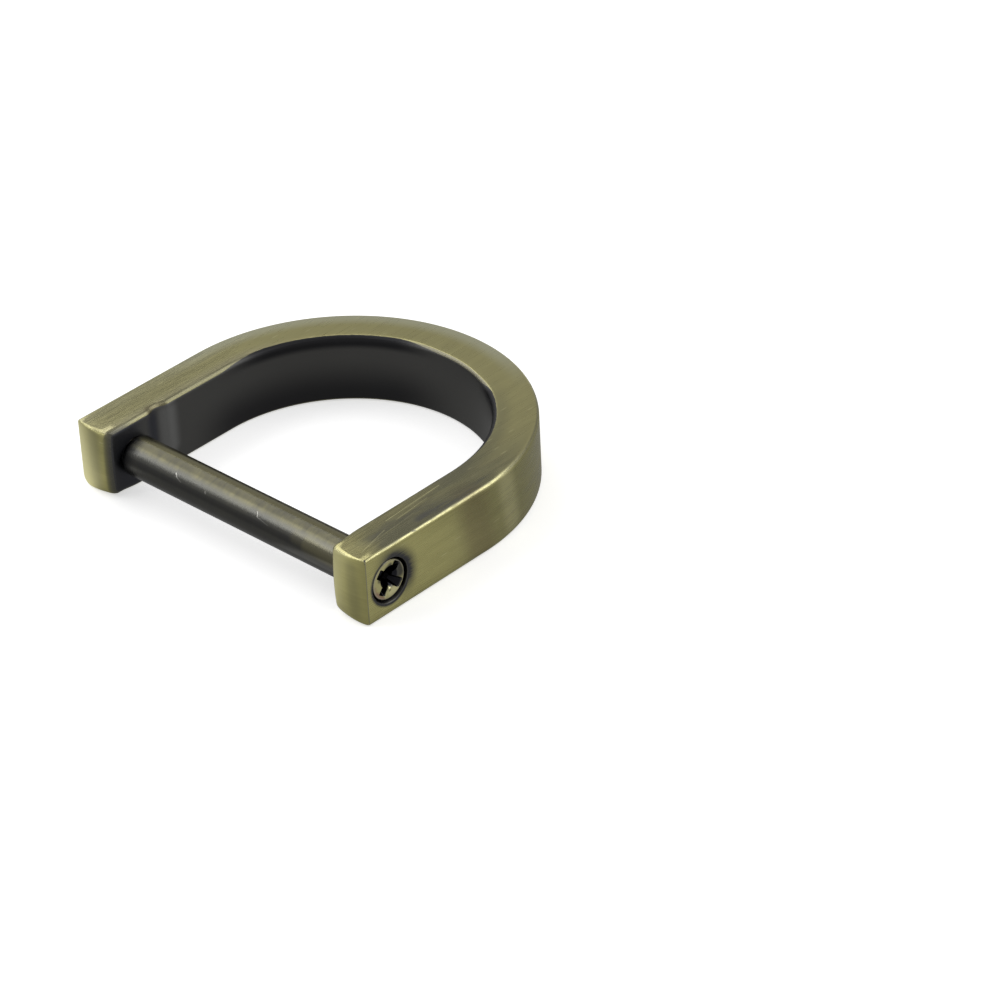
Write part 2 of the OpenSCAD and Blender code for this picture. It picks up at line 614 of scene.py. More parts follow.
# The cross recess sits a little off the bar's axis
recess_y = bar_y + 0.08 * MM
recess_z = bar_z + 0.04 * MM


def recess_point(u, v, turn, depth):
    """A place on the screw end, on axes turned about the recess, with its depth in millimetres."""
    c, s = math.cos(math.radians(turn)), math.sin(math.radians(turn))
    return Vector((bar_end_x - depth * MM, recess_y + u * c - v * s, recess_z + u * s + v * c))


def blade_cutter(turn):
    """One pair of arms of the cross recess: it narrows with depth and its ends slope in."""
    depth_longer_wider = (
        (-0.3, 0.35, 0.28),
        (-0.03, 0.08, 0.1),
        (0.03, 0.03, 0.07),
        (0.1, 0, 0.03),
        (cross_depth / MM, -0.5, -0.1),
    )
    corner_steps = 4
    rings = []
    for depth, longer, wider in depth_longer_wider:
        half_l = cross_span / 2 + longer * MM
        half_w = cross_w / 2 + wider * MM
        corner = min(0.12 * MM, half_w * 0.6)
        ring = []
        for sign_l, sign_w, start in ((1, 1, 0), (-1, 1, 90), (-1, -1, 180), (1, -1, 270)):
            for k in range(corner_steps + 1):
                angle = math.radians(start + 90 * k / corner_steps)
                u = sign_l * (half_l - corner) + corner * math.cos(angle)
                v = sign_w * (half_w - corner) + corner * math.sin(angle)
                ring.append(recess_point(u, v, turn, depth))
        rings.append(ring)
    return skin_rings("blade", rings)


def core_cutter():
    """The round middle of the recess, whose mouth is countersunk."""
    depth_radius = ((-0.1, 1.12), (0.02, 1.0), (0.26, 0.64), (0.36, 0.58), (1.2, 0.52), (1.35, 0.1))
    higher = 0.16 * MM
    sides = 64
    rings = []
    for depth, r in depth_radius:
        angles = [math.radians(360 * k / sides) for k in range(sides)]
        circle = [(r * MM * math.cos(a), higher + r * MM * math.sin(a)) for a in angles]
        rings.append([recess_point(u, v, 0, depth) for u, v in circle])
    return skin_rings("core", rings)


def make_bar(finish):
    bar = grow("screw_bar_steel", thread_tree(finish), thread_sizes)
    join(bar, shank())
    for cutter in (blade_cutter(cross_turn), blade_cutter(cross_turn + 90), core_cutter()):
        cut(bar, cutter)
    coat(bar, finish)
    shade_smooth(bar)
    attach(bar, "bar")
    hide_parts("screw_bar")


# Finishes

# Polished brass is also the colour of painted highlights, tarnished brass that of painted shade
polished_brass_and_highlight = (0.80, 0.76, 0.41)
brass_brushed = (0.58, 0.54, 0.255)
brass_dull = (0.39, 0.36, 0.175)
tarnished_brass_and_shade = (0.24, 0.23, 0.145)
brass_golden = (0.56, 0.53, 0.195)
brass_cream_highlight = (0.49, 0.455, 0.36)
crown_cream = (0.19, 0.18, 0.142)
# The dark coat, also used as painted shade on the far foot's inner corner
dark_coat_and_shade = (0.125, 0.124, 0.118)
brown_stain_and_shade = (0.20, 0.15, 0.085)
brass_grey = (0.66, 0.66, 0.48)
# Black for the darkest coat and for painted shade in recesses and on the bar
coat_and_shade_black = (0.02, 0.02, 0.024)
smudge_black = (0.06, 0.06, 0.064)
navy_shade = (0.05, 0.053, 0.075)
grey_sheen = (0.3, 0.3, 0.295)
steel_rubbed = (0.185, 0.172, 0.096)
steel_dark = (0.082, 0.08, 0.062)
# Bronze, bright and grey plating tones for the bar's rubs and its painted highlight and sheen
bronze_rub_and_sheen = (0.31, 0.285, 0.155)
steel_sheen = (0.25, 0.25, 0.235)
steel_grey_sheen = (0.135, 0.136, 0.134)
steel_worn = (0.42, 0.41, 0.38)
heat_tint = (0.36, 0.20, 0.16)


def new_metal(name):
    material = bpy.data.materials.new(name)
    material.use_nodes = True
    tree = material.node_tree
    shader = tree.nodes["Principled BSDF"]
    shader.inputs["Metallic"].default_value = 1
    return material, tree, shader


def piece_place(tree):
    """A point of the piece in millimetres, and the way its surface faces."""
    coordinates = tree.nodes.new("ShaderNodeTexCoord")
    metres = Flow(tree, coordinates.outputs["Object"])
    place = add_node(tree, "ShaderNodeVectorMath", (metres,), operation="SCALE")
    place.inputs["Scale"].default_value = 1 / MM
    return Flow(tree, place.outputs[0]), Flow(tree, coordinates.outputs["Normal"])


def use(tree, group, values):
    """Places a node group and gives its outputs by name."""
    node = add_node(tree, "ShaderNodeGroup", node_tree=group)
    for label, value in values.items():
        feed(tree, value, node.inputs[label])
    return {output.name: Flow(tree, output) for output in node.outputs}


def noise(place, scale=1.0, detail=3.0, roughness=0.6):
    settings = {"Vector": place, "Scale": scale, "Detail": detail, "Roughness": roughness}
    return Flow(place.tree, add_node(place.tree, "ShaderNodeTexNoise", settings).outputs[0])


def tint(share, low, high):
    """A colour between two colours."""
    node = add_node(share.tree, "ShaderNodeMix", data_type="RGBA")
    feed(share.tree, share, node.inputs[0])
    for socket, colour in ((node.inputs[6], low), (node.inputs[7], high)):
        feed(share.tree, colour if isinstance(colour, Flow) else (*colour, 1), socket)
    return Flow(share.tree, node.outputs[2])


def overlaid(colour, *layers):
    """A colour with others laid over it, each as a pair of its share and its colour."""
    for share, layer in layers:
        colour = tint(share, colour, layer)
    return colour


def band_place_tree():
    """Where a point lies on the unbent band, and which of its faces it lies on."""
    sizes = {
        "Inner Radius": inner_r / MM,
        "Middle Radius": middle_r / MM,
        "Spring Y": spring_y / MM,
        "Leg Length": leg_length / MM,
    }
    inputs = {**vector_inputs("Place", "Facing"), **float_inputs(sizes)}
    outputs = ("Along", "Across", "Outward", "Flat", "Outer Wall", "Foot End", "Edge")
    tree, given = effect_tree("band_place", inputs, outputs)
    x, y, _ = parts_of(given["Place"])
    facing_x, facing_y, facing_up = parts_of(given["Facing"])
    beyond = (y - given["Spring Y"]).most(0.0)
    short = (given["Spring Y"] - y).most(0.0)
    radius = (x * x + beyond * beyond).math("SQRT").most(0.1)
    bend = beyond.math("ARCTAN2", x)
    flat = facing_up.math("ABSOLUTE")
    outward = (facing_x * x + facing_y * beyond) / radius
    ending = facing_y * -1 * short.above(0.0)
    squarely = flat.most(outward.math("ABSOLUTE")).most(ending)
    put_out(tree, {
        "Along": given["Leg Length"] + bend * given["Middle Radius"] - short * x.math("SIGN"),
        "Across": radius - given["Inner Radius"],
        "Outward": outward,
        "Flat": rise(flat, 0.6, 0.8),
        "Outer Wall": rise(outward, 0.7, 0.9),
        "Foot End": rise(ending, 0.6, 0.85),
        "Edge": rise(squarely, 0.72, 0.93, 1.0, 0.0),
    })
    return tree


def brushed_grain_tree():
    """Brush strokes: fine grain and broader bands, long one way and narrow the other."""
    stroke = {"Stroke Width": 0.1, "Stroke Length": 5.0}
    values = {"Across": 0.0, "Along": 0.0, "Depth": 0.0, "Seed": 0.0, **stroke}
    tree, given = effect_tree("brushed_grain", float_inputs(values), ("Grain", "Bands"))
    narrow = given["Across"] / given["Stroke Width"]
    long = given["Along"] / given["Stroke Length"]
    deep = given["Depth"] / given["Stroke Length"] + given["Seed"]
    grain = noise(vector(tree, narrow, long, deep), 1.0, 3.0, 0.65)
    bands = noise(vector(tree, narrow / 7 + 5.2, long / 1.5, deep), 1.0, 2.0, 0.5)
    put_out(tree, {"Grain": rise(grain, 0.28, 0.72), "Bands": rise(bands, 0.3, 0.7)})
    return tree


def patina_tree():
    """A dark coat that a cover value lays down with a ragged edge."""
    values = {"Cover": 0.0, "Patch Size": 0.5, "Raggedness": 0.4}
    tree, given = effect_tree("patina", {**vector_inputs("Place"), **float_inputs(values)}, ("Coat",))
    ragged = noise(given["Place"], given["Patch Size"] ** -1.0, 4.0, 0.6)
    put_out(tree, {"Coat": rise(given["Cover"] + (ragged - 0.5) * given["Raggedness"], 0.3, 0.7)})
    return tree


def edge_wear_tree():
    """Polish along rounded edges, broken up by small patches."""
    values = {"Edge": 0.0, "Amount": 1.0}
    tree, given = effect_tree("edge_wear", {**vector_inputs("Place"), **float_inputs(values)}, ("Wear",))
    patches = rise(noise(given["Place"], 1.1, 3.0, 0.6), 0.25, 0.65, 0.4, 1.0)
    put_out(tree, {"Wear": (patches * given["Edge"] * given["Amount"]).least(1.0)})
    return tree


def mark_tree():
    """A soft mark round the line from one point to another: a scratch, a nick, a stain, or a painted
    highlight or shade.
    """
    inputs = {**vector_inputs("Place", "From", "To"), **float_inputs({"Width": 0.1})}
    tree, given = effect_tree("mark", inputs, ("Mark",))

    def combine(operation, a, b, output=0):
        node = add_node(tree, "ShaderNodeVectorMath", (a, b), operation=operation)
        return Flow(tree, node.outputs[output])

    reach = combine("SUBTRACT", given["To"], given["From"])
    offset = combine("SUBTRACT", given["Place"], given["From"])
    squared = combine("DOT_PRODUCT", reach, reach, "Value").most(1e-6)
    share = (combine("DOT_PRODUCT", offset, reach, "Value") / squared).most(0.0).least(1.0)
    nearest = add_node(tree, "ShaderNodeVectorMath", (reach,), operation="SCALE")
    feed(tree, share, nearest.inputs["Scale"])
    distance = combine("DISTANCE", offset, Flow(tree, nearest.outputs[0]), "Value")
    put_out(tree, {"Mark": rise(distance / given["Width"], 0.2, 1.0, 1.0, 0.0)})
    return tree


def scratches_tree():
    """Short thin scratches, scattered along the strokes."""
    values = {"Across": 0.0, "Along": 0.0, "Depth": 0.0, "Spacing": 0.5, "Length": 4.0}
    tree, given = effect_tree("scratches", float_inputs(values), ("Scratches",))
    across = given["Across"] / given["Spacing"]
    along = given["Along"] / given["Length"]
    place = vector(tree, across, along, given["Depth"])
    cells = add_node(tree, "ShaderNodeTexVoronoi", {"Vector": place, "Scale": 1.0})
    put_out(tree, {"Scratches": rise(Flow(tree, cells.outputs["Distance"]), 0.04, 0.13, 1.0, 0.0)})
    return tree


band_place = band_place_tree()
brushed_grain = brushed_grain_tree()
patina = patina_tree()
edge_wear = edge_wear_tree()
mark = mark_tree()
scratches = scratches_tree()


def marks(place, rows):
    """The strongest of several marks: (from, to, width, strength) in millimetres."""
    strongest = None
    for start, end, width, strength in rows:
        values = {"Place": place, "From": start, "To": end, "Width": width}
        one = use(place.tree, mark, values)["Mark"] * strength
        strongest = one if strongest is None else strongest.most(one)
    return strongest


STROKE_DEPTH = 0.004 * MM


def feed_metal(tree, shader, colour, roughness, tangent, relief):
    """Feeds what changes over a metal's surface, the relief as fine strokes and dings."""
    bump = add_node(tree, "ShaderNodeBump", {"Height": relief, "Distance": STROKE_DEPTH, "Strength": 1.0})
    feed(tree, colour, shader.inputs["Base Color"])
    feed(tree, roughness, shader.inputs["Roughness"])
    feed(tree, tangent, shader.inputs["Tangent"])
    feed(tree, Flow(tree, bump.outputs[0]), shader.inputs["Normal"])


# The bar's axis and its bore, in millimetres
bar_axis_y = bar_y / MM
bar_axis_z = bar_z / MM
hole_r = bore_r / MM

# Marks on the brass, in millimetres
pale_scratches = (
    ((13.6, -9.6, 6.2), (13.3, -3.3, 6.2), 0.055, 0.7),
    ((15.2, -13.9, 6.2), (14.4, -10.6, 6.2), 0.055, 0.6),
    ((14.1, -9.0, 6.2), (13.8, -5.2, 6.2), 0.04, 0.5),
    ((14.9, -12.4, 6.2), (14.5, -7.4, 6.2), 0.035, 0.4),
)
# Dark nicks, and a painted shade line down the near foot's outer upright corner
nicks_and_edge_shade = (
    ((16.1, -9.3, 6.1), (16.15, -9.0, 6.05), 0.12, 0.9),
    ((16.15, -14.6, 6.15), (16.2, -14.62, 5.9), 0.12, 1.0),
    ((-12.4, -15.0, 6.0), (-12.5, -14.9, 5.9), 0.14, 0.7),
    ((16.28, -14.68, 6.1), (16.28, -14.68, 0.4), 0.08, 0.85),
)
# Painted highlights: a light band on the near leg's outer wall where the arch starts, and a light patch on
# the far foot's end
painted_highlight_patches = (
    ((16.3, 1.4, 5.2), (16.3, 2.2, 1.2), 1.7, 0.55),
    ((-15.9, -15.0, 5.4), (-15.9, -15.0, 1.2), 0.8, 0.2),
)
# Painted shade: darker patches on the far foot's end and towards the outer corner of the near foot's end
painted_shade_patches = (
    ((-14.2, -15.1, 5.6), (-14.3, -15.1, 1.0), 1.1, 0.5),
    ((14.9, -15.1, 5.2), (15.1, -15.1, 1.0), 0.9, 0.3),
)
dark_streak_zones = (
    ((15.4, -7.6, 6.2), (15.5, -0.6, 6.2), 0.9, 1.0),
    ((14.2, -12.0, 6.2), (14.3, -5.0, 6.2), 1.0, 0.45),
)
# A brown stain by the groove's top edge, and a painted brown shade band down the outer wall where the arch
# starts
stains_and_painted_shade = (
    ((-12.75, -9.9, 6.1), (-12.6, -8.7, 6.1), 0.7, 0.8),
    ((16.3, -2.7, 5.2), (16.3, -1.9, 1.0), 2.6, 0.42),
)
# Painted shade and sheen on the tapped leg's inner wall: dark stripes in the groove and towards the foot, a
# pale stripe just past the groove
painted_shade_stripes = (
    ((-12.7, -9.9, 0.6), (-12.7, -9.9, 5.2), 1.0, 0.75),
    ((-12.5, -13.0, 0.6), (-12.5, -13.0, 5.8), 2.4, 0.6),
)
painted_sheen_stripes = (((-12.6, -8.2, 2.0), (-12.6, -8.2, 5.2), 1.3, 0.75),)

# Places along the band are in millimetres from the corners of the screw end's foot: the arch runs from
# 13.4 to 58.6 with its crown at 36, and the other foot's corners are at 72.

# How dull the inner edge is: (place along the band, share)
inner_edge_dullness = (
    (0, 0.1), (8, 0.6), (24, 0.7), (30, 0.75), (37, 0.7), (41, 1.0), (57, 0.98), (64, 0.92), (71, 0.6),
)
# How far the dark coat creeps over the inner edge, but for the stretches that are rubbed
coat_creep = (
    (0, 0.0), (14, 0.6), (19, 1.0), (27.5, 1.0), (30.5, 0.0), (36, 0.0), (42, 1.0), (54, 1.0), (60, 0.0),
)


def brass_surface(tree):
    """What the brass's finish is worked out from at a point of the bow: its place, facing and strokes."""
    place, facing = piece_place(tree)
    x, y, z = parts_of(place)
    facing_x, _, facing_up = parts_of(facing)
    band = use(tree, band_place, {"Place": place, "Facing": facing})
    along, across, flat = band["Along"], band["Across"], band["Flat"]

    # The faces were brushed straight along the legs, the walls round the band
    strokes = {"Across": mix(z, x, flat), "Along": mix(along, y, flat)}
    depth = mix(across, z, flat)
    grain = {**strokes, "Depth": depth, "Stroke Width": 0.11, "Stroke Length": 3.5, "Seed": 2.0}
    grain = use(tree, brushed_grain, grain)
    thin = {**strokes, "Depth": depth * 0.3, "Spacing": 0.7, "Length": 4.0}
    thin = use(tree, scratches, thin)["Scratches"]

    on_top = flat * rise(z, 5.0, 6.0)
    round_arch = stretch(along, 10.0, 20.0, 53.0, 63.0)
    return SimpleNamespace(
        tree=tree, place=place, x=x, y=y, z=z,
        facing_x=facing_x, facing_up=facing_up, facing_in=band["Outward"] * -1,
        along=along, across=across, flat=flat, on_top=on_top,
        outer_wall=band["Outer Wall"], foot_end=band["Foot End"], edge=band["Edge"],
        fine=grain["Grain"], bands=grain["Bands"], thin=thin,
        contrast=mix(0.95, 0.32, round_arch * on_top),
        inner_side=rise(across, 2.2, 1.4),
        creep=keyed(along, coat_creep) * rise(z, 3.0, 4.0),
        dullness=keyed(along, inner_edge_dullness),
        # Painted shade: the outer top edge where the arch starts is darkened and not rubbed bright
        shaded_spring_edge=rise(across, 2.2, 3.0) * stretch(along, 14.5, 17.0, 25.0, 30.0),
    )


def tarnish(brass):
    """How tarnished the brass is: most on top of the screw end's leg, towards its outer edge."""
    along, across, on_top = brass.along, brass.across, brass.on_top
    right_leg = rise(along, 24.0, 11.0)
    share = on_top * right_leg * rise(across, 0.6, 3.2, 0.66, 1.15) * rise(along, 0.5, 3.4, 0.0, 1.0)
    # The outer wall of the screw end's leg is darker towards the arch
    share = share + brass.outer_wall * rise(along, 7.0, 14.0, 0.0, 0.3)
    share = share + on_top * rise(along, 54.0, 64.0, 0.0, 0.3)
    inner_bend = rise(across, 2.0, 0.7) * stretch(along, 10.0, 15.0, 23.0, 31.0)
    share = share + on_top * inner_bend * 0.45
    streaky = (brass.bands - 0.5) * 0.35 * right_leg * on_top
    return (share + streaky).most(0.0).least(1.0)


def brushed_colour(brass):
    """The colour of the brushed faces and walls, with their tarnish and pale scratches, a painted soft
    highlight by the inner edge, and painted highlight and shade patches.
    """
    along, across, on_top, place = brass.along, brass.across, brass.on_top, brass.place
    shade = (brass.fine * 0.45 + brass.bands * 0.55 - 0.5) * brass.contrast + 0.5
    rim_along = rise(along, 27.0, 34.0) * rise(along, 66.0, 56.0, 0.25, 1.0)
    grey_rim = on_top * rise(across, 1.9, 3.4) * rim_along
    # A painted soft highlight on the top face along the inner edge, from the arch's far half to the far
    # foot
    painted_soft_highlight = on_top * rise(across, 1.5, 0.3) * rise(along, 50.0, 57.0)
    return overlaid(
        tint(shade, brass_dull, brass_brushed),
        (grey_rim * 0.8, brass_grey),
        (painted_soft_highlight * 0.35, brass_cream_highlight),
        (brass.outer_wall.most(brass.foot_end) * 0.5, brass_golden),
        (tarnish(brass), tarnished_brass_and_shade),
        (brass.thin * 0.35, polished_brass_and_highlight),
        # Painted highlight and painted shade patches
        (marks(place, painted_highlight_patches), polished_brass_and_highlight),
        (marks(place, painted_shade_patches), tarnished_brass_and_shade),
        (marks(place, pale_scratches), polished_brass_and_highlight),
    )


def rubbed_edges(brass):
    """How far the long edges are rubbed bright."""
    amount = 1 - brass.inner_side * brass.dullness - rise(brass.along, 69.0, 71.5, 0.0, 0.35)
    amount = (amount - brass.shaded_spring_edge).most(0.0)
    return use(brass.tree, edge_wear, {"Place": brass.place, "Edge": brass.edge, "Amount": amount})["Wear"]


def edged_colour(brass, colour, wear):
    """The brushed colour with its edges, lips and corners, a painted highlight on the foot ends, and
    painted shade on the far foot's inner corner and the outer edge where the arch starts.
    """
    along, facing_in = brass.along, brass.facing_in
    # Painted highlight on the inward-facing side of the foot ends
    painted_left_highlight = brass.foot_end * rise(brass.facing_x, 0.15, -0.3)
    lip = mix(brass.edge, rise(facing_in, 0.06, 0.4), rise(along, 8.0, 14.0)) * brass.inner_side
    crown_edge = stretch(along, 27.5, 29.5, 38.0, 41.0)
    # Painted shade on the far foot's inner upright corner
    shaded_far_corner = rise(facing_in, 0.1, 0.85) * rise(along, 68.5, 71.0)
    return overlaid(
        colour,
        (wear, polished_brass_and_highlight),
        # Painted shade on the outer top edge where the arch starts
        (brass.edge * brass.shaded_spring_edge * 0.75, tarnished_brass_and_shade),
        # A brown stain and a painted shade band
        (marks(brass.place, stains_and_painted_shade), brown_stain_and_shade),
        (painted_left_highlight * 0.85, polished_brass_and_highlight),
        (lip * brass.dullness * 0.8, tarnished_brass_and_shade),
        (lip * crown_edge * 0.85, crown_cream),
        (shaded_far_corner * 0.85, dark_coat_and_shade),
    )


def from_bar_axis(surface):
    out_y, out_z = surface.y - bar_axis_y, surface.z - bar_axis_z
    return (out_y * out_y + out_z * out_z).math("SQRT")


def coat_and_shade_share(brass):
    """Where the dark coat stays: on the inner walls, in both holes, where it also stands for painted shade,
    and as streaks and nicks, with a painted shade line down the near foot's outer corner.
    """
    # Inside both holes the dark coat also stands for painted shade
    in_hole = rise(from_bar_axis(brass), hole_r + 0.16, hole_r + 0.1) * brass.x.above(blind_x / MM - 0.1)
    inner_wall = rise(brass.facing_in, mix(0.8, -0.13, brass.creep), mix(0.95, 0.52, brass.creep))
    cover = {"Place": brass.place, "Cover": inner_wall.most(in_hole), "Patch Size": 0.5, "Raggedness": 0.35}
    share = use(brass.tree, patina, cover)["Coat"]
    ragged = rise(brass.fine * 0.5 + brass.bands * 0.5, 0.42, 0.66) * brass.flat
    streaks = marks(brass.place, dark_streak_zones) * ragged
    return share.most(marks(brass.place, nicks_and_edge_shade)).most(streaks * 0.75)


def coat_and_painted_shade_colour(brass):
    """The dark coat's colour: with painted shade low under the crown, painted shade and sheen stripes by
    the groove, and darkest right under the inner edge.
    """
    # Painted shade low on the inner walls under the crown
    shaded_under_crown = rise(brass.z, 4.6, 0.8) * stretch(brass.along, 33.0, 42.0, 58.0, 64.0)
    under_lip = brass.inner_side * brass.creep * rise(brass.z, 4.95, 5.6)
    return overlaid(
        tint(shaded_under_crown * 0.75, dark_coat_and_shade, coat_and_shade_black),
        (marks(brass.place, painted_sheen_stripes), grey_sheen),
        (marks(brass.place, painted_shade_stripes), navy_shade),
        (under_lip * 0.85, coat_and_shade_black),
    )


def bore_smudge(brass):
    """The dark ring round the outer mouth of the bore, and the smudge above and behind it."""
    from_axis = from_bar_axis(brass)
    upper_right = rise((brass.y - bar_axis_y) + (brass.z - bar_axis_z) * 0.7, -1.0, 2.2)
    ring = rise(from_axis, hole_r + 0.08, hole_r + 0.42, 0.85, 0.0)
    smudge = (1 - rise(from_axis, hole_r - 0.3, hole_r + 1.4)) * upper_right
    smudge = smudge.most(ring) * brass.outer_wall * brass.x.above(0.0)
    return (smudge * (1.1 + brass.fine * 0.5)).least(1.0)


def brushed_antique_brass():
    """Brushed brass whose recesses keep their dark coat and whose edges are rubbed bright, with painted
    highlights and painted shade in its colour.
    """
    material, tree, shader = new_metal("brushed_antique_brass")
    brass = brass_surface(tree)
    wear = rubbed_edges(brass)
    coat_share = coat_and_shade_share(brass)
    colour = overlaid(
        edged_colour(brass, brushed_colour(brass), wear),
        (coat_share, coat_and_painted_shade_colour(brass)),
        (bore_smudge(brass), smudge_black),
    )
    roughness = mix(0.30 + (brass.fine - 0.5) * 0.2 * brass.contrast, 0.46, brass.foot_end)
    roughness = mix(roughness, 0.21, wear)
    roughness = mix(roughness, 0.38, coat_share)
    level = rise(brass.facing_up.math("ABSOLUTE"), 0.6, 0.8)
    tangent = vector(tree, level, 0.0, 1 - level)
    relief = (brass.fine * 0.6 + brass.bands * 0.4 + brass.thin * 0.4) * (1 - coat_share * 0.7)
    shader.inputs["Anisotropic"].default_value = 0.72
    feed_metal(tree, shader, colour, roughness, tangent, relief)
    return material


# Marks on the bar, in millimetres: dings, and where the plating is rubbed thin by the screw end's leg
bar_dings = (
    ((-6.3, -13.35, 4.35), (-6.1, -13.5, 4.15), 0.1, 0.9),
    ((-6.1, -13.5, 4.15), (-5.5, -13.6, 3.95), 0.07, 0.6),
    ((-2.8, -13.54, 4.11), (-2.7, -13.58, 4.03), 0.1, 0.8),
    ((2.9, -13.25, 4.45), (3.1, -13.5, 4.15), 0.07, 0.8),
    ((3.1, -13.5, 4.15), (4.4, -13.6, 3.95), 0.06, 0.55),
)
bar_rubs = (
    ((7.4, -13.55, 4.1), (11.5, -13.62, 3.9), 0.8, 0.2),
    ((8.6, -13.6, 4.0), (11.5, -13.66, 3.85), 0.9, 0.42),
)

# Marks on the screw end, in millimetres: painted highlights, heat tint and darker patches
painted_end_highlights = (((16.1, -11.95, 1.9), (16.1, -11.35, 1.95), 0.55, 0.9),)
end_tints = (
    ((16.1, -13.6, 2.4), (16.1, -12.9, 1.75), 0.42, 0.75),
    ((16.1, -13.66, 3.0), (16.1, -13.6, 2.6), 0.25, 0.4),
)
end_dark_patches = (
    ((16.1, -10.9, 3.2), (16.1, -11.1, 4.0), 0.9, 1.0),
    ((16.1, -12.3, 4.1), (16.1, -11.9, 4.3), 0.4, 0.9),
    ((16.1, -13.1, 3.5), (16.1, -12.9, 3.4), 0.35, 0.8),
    ((16.1, -12.12, 2.06), (16.1, -12.02, 2.1), 0.1, 0.9),
)
# Painted highlights on the lit slopes of the recess
lit_slopes = (
    ((16.0, -12.2, 2.4), (16.05, -12.1, 2.25), 0.19, 0.9),
    ((16.08, -12.28, 2.3), (16.08, -12.6, 1.72), 0.1, 0.8),
)


def bar_surface(tree):
    """What the bar's finish is worked out from at one of its points: its place, facing and strokes."""
    place, facing = piece_place(tree)
    x, y, z = parts_of(place)
    facing_x, facing_y, facing_up = parts_of(facing)
    bar = SimpleNamespace(place=place, x=x, y=y, z=z, facing_y=facing_y, facing_up=facing_up)
    bar.from_axis = from_bar_axis(bar)
    turn = (z - bar_axis_z).math("ARCTAN2", y - bar_axis_y)
    strokes = {"Across": x, "Along": turn * (bar_r / MM), "Depth": bar.from_axis}
    grain = use(tree, brushed_grain, {**strokes, "Stroke Width": 0.07, "Stroke Length": 1.1, "Seed": 7.0})
    bar.fine, bar.bands = grain["Grain"], grain["Bands"]
    bar.patches = rise(noise(vector(tree, x * 0.35, turn, bar.from_axis), 1.0, 3.0, 0.6), 0.3, 0.7)
    bar.ding = marks(place, bar_dings)
    # Painted shade on the bar by the far leg's shoulder
    bar.by_shoulder = rise(x, -10.6, -12.2)
    bar.end = rise(facing_x, 0.75, 0.95) * rise(x, bar_end_x / MM - 0.15, bar_end_x / MM - 0.05)
    return bar


def plating_and_painted_light(bar):
    """The colour of the plating, with light and shade painted by facing: a painted bronze highlight on top,
    a painted grey sheen in front, painted dark lines and painted shade underneath.
    """
    facing_y, facing_up = bar.facing_y, bar.facing_up
    # Painted light and shade on the bar, by the way its surface faces
    painted_lower_sheen = stretch(facing_up, 0.52, 0.62, 0.7, 0.78)
    painted_lower_dark_line = stretch(facing_up, 0.12, 0.26, 0.44, 0.54)
    painted_upper_dark_line = stretch(facing_y, -0.5, -0.36, -0.1, -0.02) * facing_up.above(0.0)
    painted_upper_highlight = stretch(facing_y, -0.1, 0.04, 0.45, 0.7) * facing_up.above(0.0)
    return overlaid(
        tint(bar.fine * 0.35 + bar.bands * 0.25 + bar.patches * 0.4, steel_dark, steel_rubbed),
        (rise(facing_up, 0.93, 0.74) * 0.7, steel_grey_sheen),
        (painted_lower_sheen * 0.12, steel_sheen),
        (rise(facing_up, 0.6, 0.4) * 0.28, coat_and_shade_black),
        (painted_lower_dark_line * 0.35, coat_and_shade_black),
        (painted_upper_dark_line * 0.38, coat_and_shade_black),
        (painted_upper_highlight * 0.75, bronze_rub_and_sheen),
        (marks(bar.place, bar_rubs), bronze_rub_and_sheen),
        (bar.ding, steel_worn),
        (bar.by_shoulder * 0.85, coat_and_shade_black),
    )


def screw_end_colour(bar, colour):
    """The plating's colour with the rubbed brass of the screw end, painted highlights on its face and rim,
    and its recess painted black as shade.
    """
    place, end = bar.place, bar.end
    end_x = bar_end_x / MM
    # The cross recess is painted black as shade
    shaded_recess = rise(bar.x, end_x - 0.03, end_x - 0.12) * rise(bar.from_axis, 1.55, 1.5) * bar.x.above(0.0)
    return overlaid(
        colour,
        (end, brass_brushed),
        (end * marks(place, painted_end_highlights), polished_brass_and_highlight),
        (end * marks(place, end_tints), heat_tint),
        (end * marks(place, end_dark_patches), steel_dark),
        # Painted highlight round the screw end's rim
        (end * rise(bar.from_axis, 1.54, 1.62) * 0.5, brass_cream_highlight),
        (shaded_recess, coat_and_shade_black),
        (marks(place, lit_slopes), polished_brass_and_highlight),
    )


def dark_plated_steel():
    """Dark plating on the bar, turned with strokes that run round it, with painted highlights and shade,
    and a rubbed screw end.
    """
    material, tree, shader = new_metal("dark_plated_steel")
    bar = bar_surface(tree)
    colour = screw_end_colour(bar, plating_and_painted_light(bar))
    roughness = 0.2 + (bar.fine - 0.5) * 0.08 + bar.by_shoulder * 0.2
    tangent = vector(tree, 1 - bar.end, 0.0, bar.end)
    relief = bar.fine * 0.7 + bar.bands * 0.3 + bar.ding
    shader.inputs["Anisotropic"].default_value = 0.3
    feed_metal(tree, shader, colour, roughness, tangent, relief)
    return material


make_bow(brushed_antique_brass())
make_bar(dark_plated_steel())

# The camera stands where the photograph was taken from
camera_lens = 150.2
camera_distance = 336.05 * MM
camera_azimuth = 44.325
camera_elevation = 33.151
camera_roll = -2.855
camera_target = Vector((11.835 * MM, foot_y + 19.59 * MM, 0))


def direction(azimuth, elevation):
    """A direction away from the object: azimuth 0 is in front of the bar, 90 at the screw end."""
    a, e = math.radians(azimuth), math.radians(elevation)
    return Vector((math.sin(a) * math.cos(e), -math.cos(a) * math.cos(e), math.sin(e)))


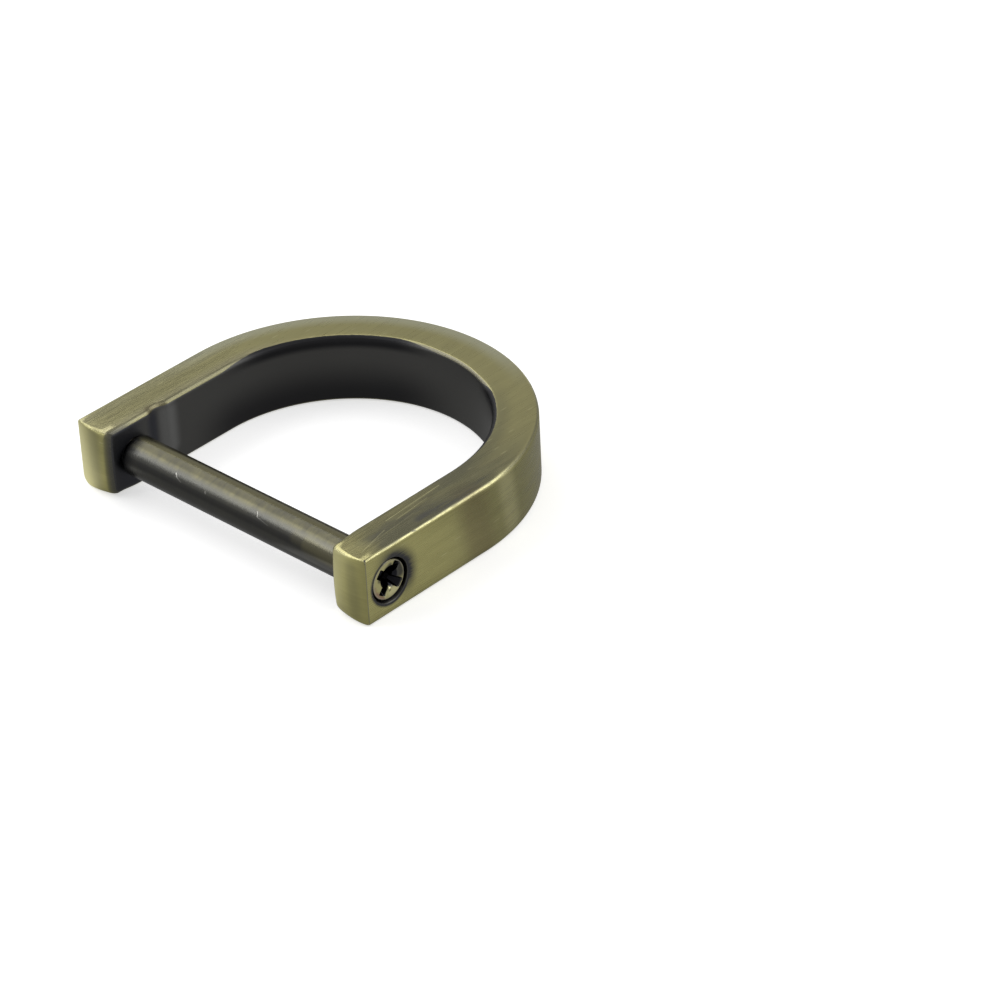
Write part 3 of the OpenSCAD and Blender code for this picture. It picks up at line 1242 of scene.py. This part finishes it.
def make_camera():
    back = direction(camera_azimuth, camera_elevation)
    right = Vector((0, 0, 1)).cross(back).normalized()
    up = back.cross(right)
    roll = math.radians(camera_roll)
    turned_right = right * math.cos(roll) + up * math.sin(roll)
    turned_up = up * math.cos(roll) - right * math.sin(roll)
    data = bpy.data.cameras.new("camera")
    data.lens = camera_lens
    data.sensor_width = 36
    data.clip_start = 0.01
    data.clip_end = 10
    camera = new_object("camera", data)
    turn = Matrix((turned_right, turned_up, back)).transposed().to_4x4()
    camera.matrix_world = Matrix.Translation(camera_target + back * camera_distance) @ turn
    bpy.context.scene.camera = camera


def make_floor():
    """A white card that the camera sees lit evenly, and that the metal reflects as a dimmer one."""
    size = 1.5
    corners = [(-size, -size, 0), (size, -size, 0), (size, size, 0), (-size, size, 0)]
    mesh = bpy.data.meshes.new("floor")
    mesh.from_pydata(corners, [], [(0, 1, 2, 3)])
    floor = new_object("floor", mesh)
    material, tree, shader = new_metal("white_card")
    shader.inputs["Metallic"].default_value = 0
    shader.inputs["Roughness"].default_value = 0.9
    seen = Flow(tree, add_node(tree, "ShaderNodeLightPath").outputs["Is Camera Ray"])
    x, y, _ = parts_of(piece_place(tree)[0])
    feed(tree, tint(seen, (0.1, 0.1, 0.1), (0.9, 0.9, 0.9)), shader.inputs["Base Color"])
    shader.inputs["Emission Color"].default_value = (1, 1, 1, 1)

    # Brighter patches of the card give the walls and feet their reflections
    left = rise(y, -19.5, -15.5) * rise(x, 14.0, 9.0) * rise(x, -13.5, -16.0)
    right = rise(x, 16.0, 18.0) * rise(y, 6.0, -3.0)
    between = stretch(x, 2.0, 5.0, 9.0, 13.0) * rise(y, -14.2, -15.2)
    reflected = 0.2 + left * 0.6 + right * 0.17 + between * 0.3
    feed(tree, mix(reflected, 0.55, seen), shader.inputs["Emission Strength"])
    mesh.materials.append(material)


def softbox(name, azimuth, elevation, distance, width, tall, radiance):
    """A soft area light of the given brightness that faces the object."""
    light = bpy.data.lights.new(name, "AREA")
    light.shape = "RECTANGLE"
    light.size = width
    light.size_y = tall
    light.energy = radiance * math.pi * width * tall
    lamp = new_object(name, light)
    towards = direction(azimuth, elevation)
    turn = towards.to_track_quat("Z", "Y").to_matrix().to_4x4()
    lamp.matrix_world = Matrix.Translation(towards * distance) @ turn
    lamp.visible_camera = False


def make_sky():
    """A dim surround for reflections, that the camera sees as plain white."""
    world = bpy.data.worlds.new("studio")
    world.use_nodes = True
    tree = world.node_tree
    sky = tree.nodes["Background"]
    camera_ray = Flow(tree, add_node(tree, "ShaderNodeLightPath").outputs["Is Camera Ray"])
    sky.inputs["Color"].default_value = (1, 1, 1, 1)
    feed(tree, rise(camera_ray, 0.0, 1.0, 0.4, 1.0), sky.inputs["Strength"])
    bpy.context.scene.world = world


make_camera()
make_floor()
softbox("key_left", -75, 50, 0.6, 0.95, 0.34, 1.85)
softbox("key_behind", 137, 42, 0.6, 0.55, 0.36, 1.5)
make_sky()
bpy.context.scene.view_settings.view_transform = "Standard"
